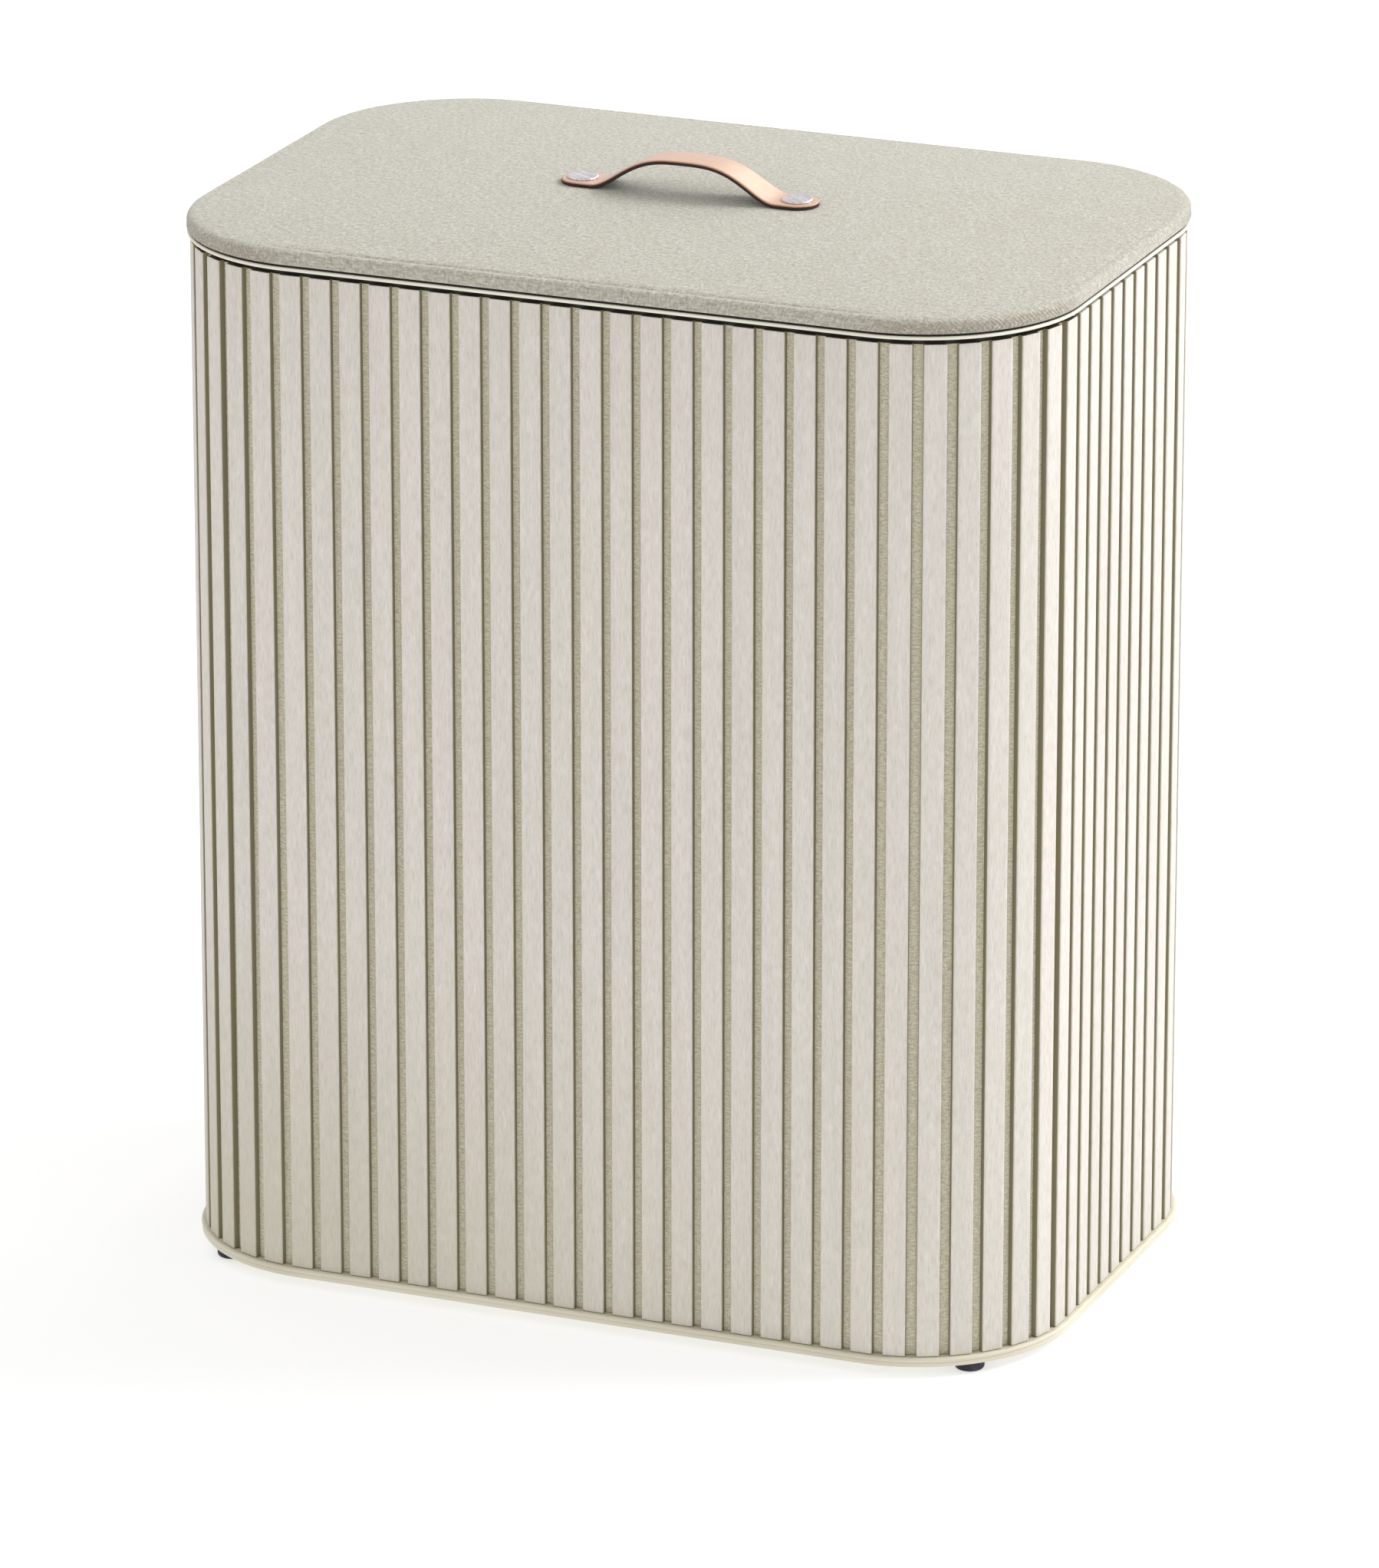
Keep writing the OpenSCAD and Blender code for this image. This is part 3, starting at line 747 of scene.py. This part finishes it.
STRAP_T = 2.0 * MM
STRAP_HALF_W = 9.5 * MM
ARCH_RISE, ARCH_HALF, ARCH_POWER = 14.3 * MM, 42.7 * MM, 1.6
STRAP_ROLL = 0.9 * MM                   # how far the strap's back edge dips at the top of its arch
# The strap's rounded section, from under it to its top: distance in from its outline, height over its underside
STRAP_SECTION = [
    (6.5, 0), (2, 0), (0.5, 0), (0.16, 0.12), (0.02, 0.4), (0, 0.95), (0.02, 1.5), (0.12, 1.74),
    (0.38, 1.92), (0.9, 2.0), (2, 2.02), (4.2, 2.04), (6.5, 2.05),
]


def arch_height(x):
    if abs(x) >= ARCH_HALF:
        return 0.0
    return ARCH_RISE * (1 + math.cos(math.pi * (abs(x) / ARCH_HALF) ** ARCH_POWER)) / 2


def build_strap():
    steps, turns = 96, 16
    count = 2 * (steps + turns)
    points, cloth, edge = [], [], []
    for inset, height in STRAP_SECTION:
        radius = STRAP_HALF_W - inset * MM
        plan = [(-RIVET_X + 2 * RIVET_X * i / steps, -radius) for i in range(steps)]
        plan += [(RIVET_X + radius * math.cos(t), radius * math.sin(t))
                 for t in (math.pi * (i / turns - 0.5) for i in range(turns))]
        plan += [(RIVET_X - 2 * RIVET_X * i / steps, radius) for i in range(steps)]
        plan += [(-RIVET_X + radius * math.cos(t), radius * math.sin(t))
                 for t in (math.pi * (i / turns + 0.5) for i in range(turns))]
        for x, y in plan:
            slope = (arch_height(x + 0.1 * MM) - arch_height(x - 0.1 * MM)) / (0.2 * MM)
            lean = 1 / math.hypot(1, slope)
            lift = height * MM
            roll = STRAP_ROLL * arch_height(x) / ARCH_RISE * (y / STRAP_HALF_W + 1) / 2
            points.append((x - lift * slope * lean, y, LID_TOP + arch_height(x) + lift * lean - roll))
            cloth.append((x, y, height * MM))
            edge.append((min(inset, 3) * MM, height * MM, 0))
    faces = bridge(len(STRAP_SECTION), count)
    # Both caps are strips across the strap, so that they follow the arch
    first = 2 * steps + turns + turns // 2
    last = (len(STRAP_SECTION) - 1) * count
    for i in range(first, first + count // 2):
        near, ahead = i % count, (i + 1) % count
        far, far_ahead = (2 * steps + turns - near) % count, (2 * steps + turns - ahead) % count
        strip = [near, ahead, far_ahead, far]
        strip = [p for n, p in enumerate(strip) if p not in strip[:n]]
        faces.append(tuple(last + p for p in strip))
        faces.append(tuple(reversed(strip)))
    made = piece("leather_strap", points, faces, "lid", leather_finish(),
                 {"cloth_at": cloth, "edge_at": edge})
    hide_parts("handle_strap")


def lathe(section, x, y, turns=64):
    """Points and faces of a profile of (radius, height) turned about an upright axis."""
    points = []
    for radius, z in section:
        points += [(x + radius * math.cos(2 * math.pi * i / turns), y + radius * math.sin(2 * math.pi * i / turns), z)
                   for i in range(turns)]
    faces = bridge(len(section), turns)
    faces.append(tuple(range(turns - 1, -1, -1)))
    faces.append(tuple(range((len(section) - 1) * turns, len(section) * turns)))
    return points, faces


def build_rivets():
    finish = steel_finish("rivet_steel", (244, 238, 243), 0.32)
    seat = LID_TOP + STRAP_T
    foot = low("rivet_left").z
    section = [
        (2.2, foot - seat), (2.2, -0.1 * MM), (6.3, -0.05 * MM), (6.65, 0.1 * MM), (6.75, 0.35 * MM),
        (6.68, 0.68 * MM), (6.42, 0.92 * MM), (6.0, 1.04 * MM), (5.4, 1.08 * MM), (4.6, 1.05 * MM), (2.5, 1.02 * MM),
        (0.4, 1.02 * MM),
    ]
    section = [(r * MM, seat + z) for r, z in section]
    for side, word in ((-1, "left"), (1, "right")):
        points, faces = lathe(section, side * RIVET_X, 0)
        made = piece("rivet_head_" + word, points, faces, "lid", finish)
        made.data.set_sharp_from_angle(angle=math.radians(40))
        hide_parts("rivet_" + word)


# ---- CAD parts that stay ----

def finish_cad():
    cream = moulded_finish("cream_moulding", linear(236, 231, 216), linear(230, 224, 208), 0.42)
    stone = moulded_finish("stone_moulding", linear(217, 211, 191), linear(209, 202, 182), 0.5)
    steel = steel_finish("screw_steel", (214, 211, 216), 0.35)
    # Painted shade: the inner shell is dark so that the gap under the rim, above the slat tops, reads as shadow
    gap_shade = moulded_finish("charcoal_moulding", linear(46, 44, 39), linear(38, 36, 32), 0.6)
    board = board_finish()
    rubber = rubber_finish("foot_rubber", linear(40, 36, 48), linear(66, 61, 70))
    seal = rubber_finish("seal_rubber", linear(24, 23, 20), linear(38, 36, 32))
    kept = {
        "base_tray": stone, "inner_shell": gap_shade, "top_rim": cream, "rim_seal": seal, "lid_frame": cream,
        "floor_board": board, "lid_board": board,
        "frame_screws": steel, "rivet_nut_left": steel, "rivet_nut_right": steel,
    }
    kept.update({name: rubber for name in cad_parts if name.startswith("foot_")})
    for name, material in kept.items():
        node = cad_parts[name]
        if not node.material_slots:
            node.data.materials.append(material)
        for slot in node.material_slots:
            slot.material = material


# ---- floor and light ----

def build_stage():
    mesh = bpy.data.meshes.new("floor")
    mesh.from_pydata([(-8, -8, 0), (8, -8, 0), (8, 12, 0), (-8, 12, 0)], [], [(0, 1, 2, 3)])
    floor = bpy.data.objects.new("floor", mesh)
    bpy.context.scene.collection.objects.link(floor)
    f = Finish("floor_white", Roughness=0.9, Specular_IOR_Level=0.1,
               Emission_Color=(1, 1, 1, 1), Emission_Strength=0.61)
    f.colour(f.mix(f.noise(f.place(), 3.0), (0.46, 0.46, 0.46, 1), (0.48, 0.48, 0.48, 1)))
    mesh.materials.append(f.material)


def lamp(name, place, size, watts, colour=(1, 1, 1), aim=(0, 0, 0.25)):
    data = bpy.data.lights.new(name, "AREA")
    data.shape = "DISK"
    data.size = size
    data.energy = watts
    data.color = colour
    made = bpy.data.objects.new(name, data)
    bpy.context.scene.collection.objects.link(made)
    made.location = place
    made.rotation_mode = "QUATERNION"
    made.rotation_quaternion = (Vector(place) - Vector(aim)).to_track_quat("Z", "Y")


def build_light():
    world = bpy.data.worlds.new("studio")
    bpy.context.scene.world = world
    world.use_nodes = True
    world.node_tree.nodes["Background"].inputs[0].default_value = (1, 1, 1, 1)
    world.node_tree.nodes["Background"].inputs[1].default_value = 0.82
    lamp("key", (2.8, 1.7, 2.7), 2.0, 117, colour=(0.97, 0.985, 1))
    lamp("back", (0.4, 3.4, 2.2), 1.4, 22, aim=(0, 0, 0.45))
    bpy.context.scene.view_settings.view_transform = "Standard"


build_slats()
build_backing()
build_lining()
build_mat()
build_cover()
build_foam()
build_lid_lining()
build_strap()
build_rivets()
finish_cad()
build_stage()
build_light()
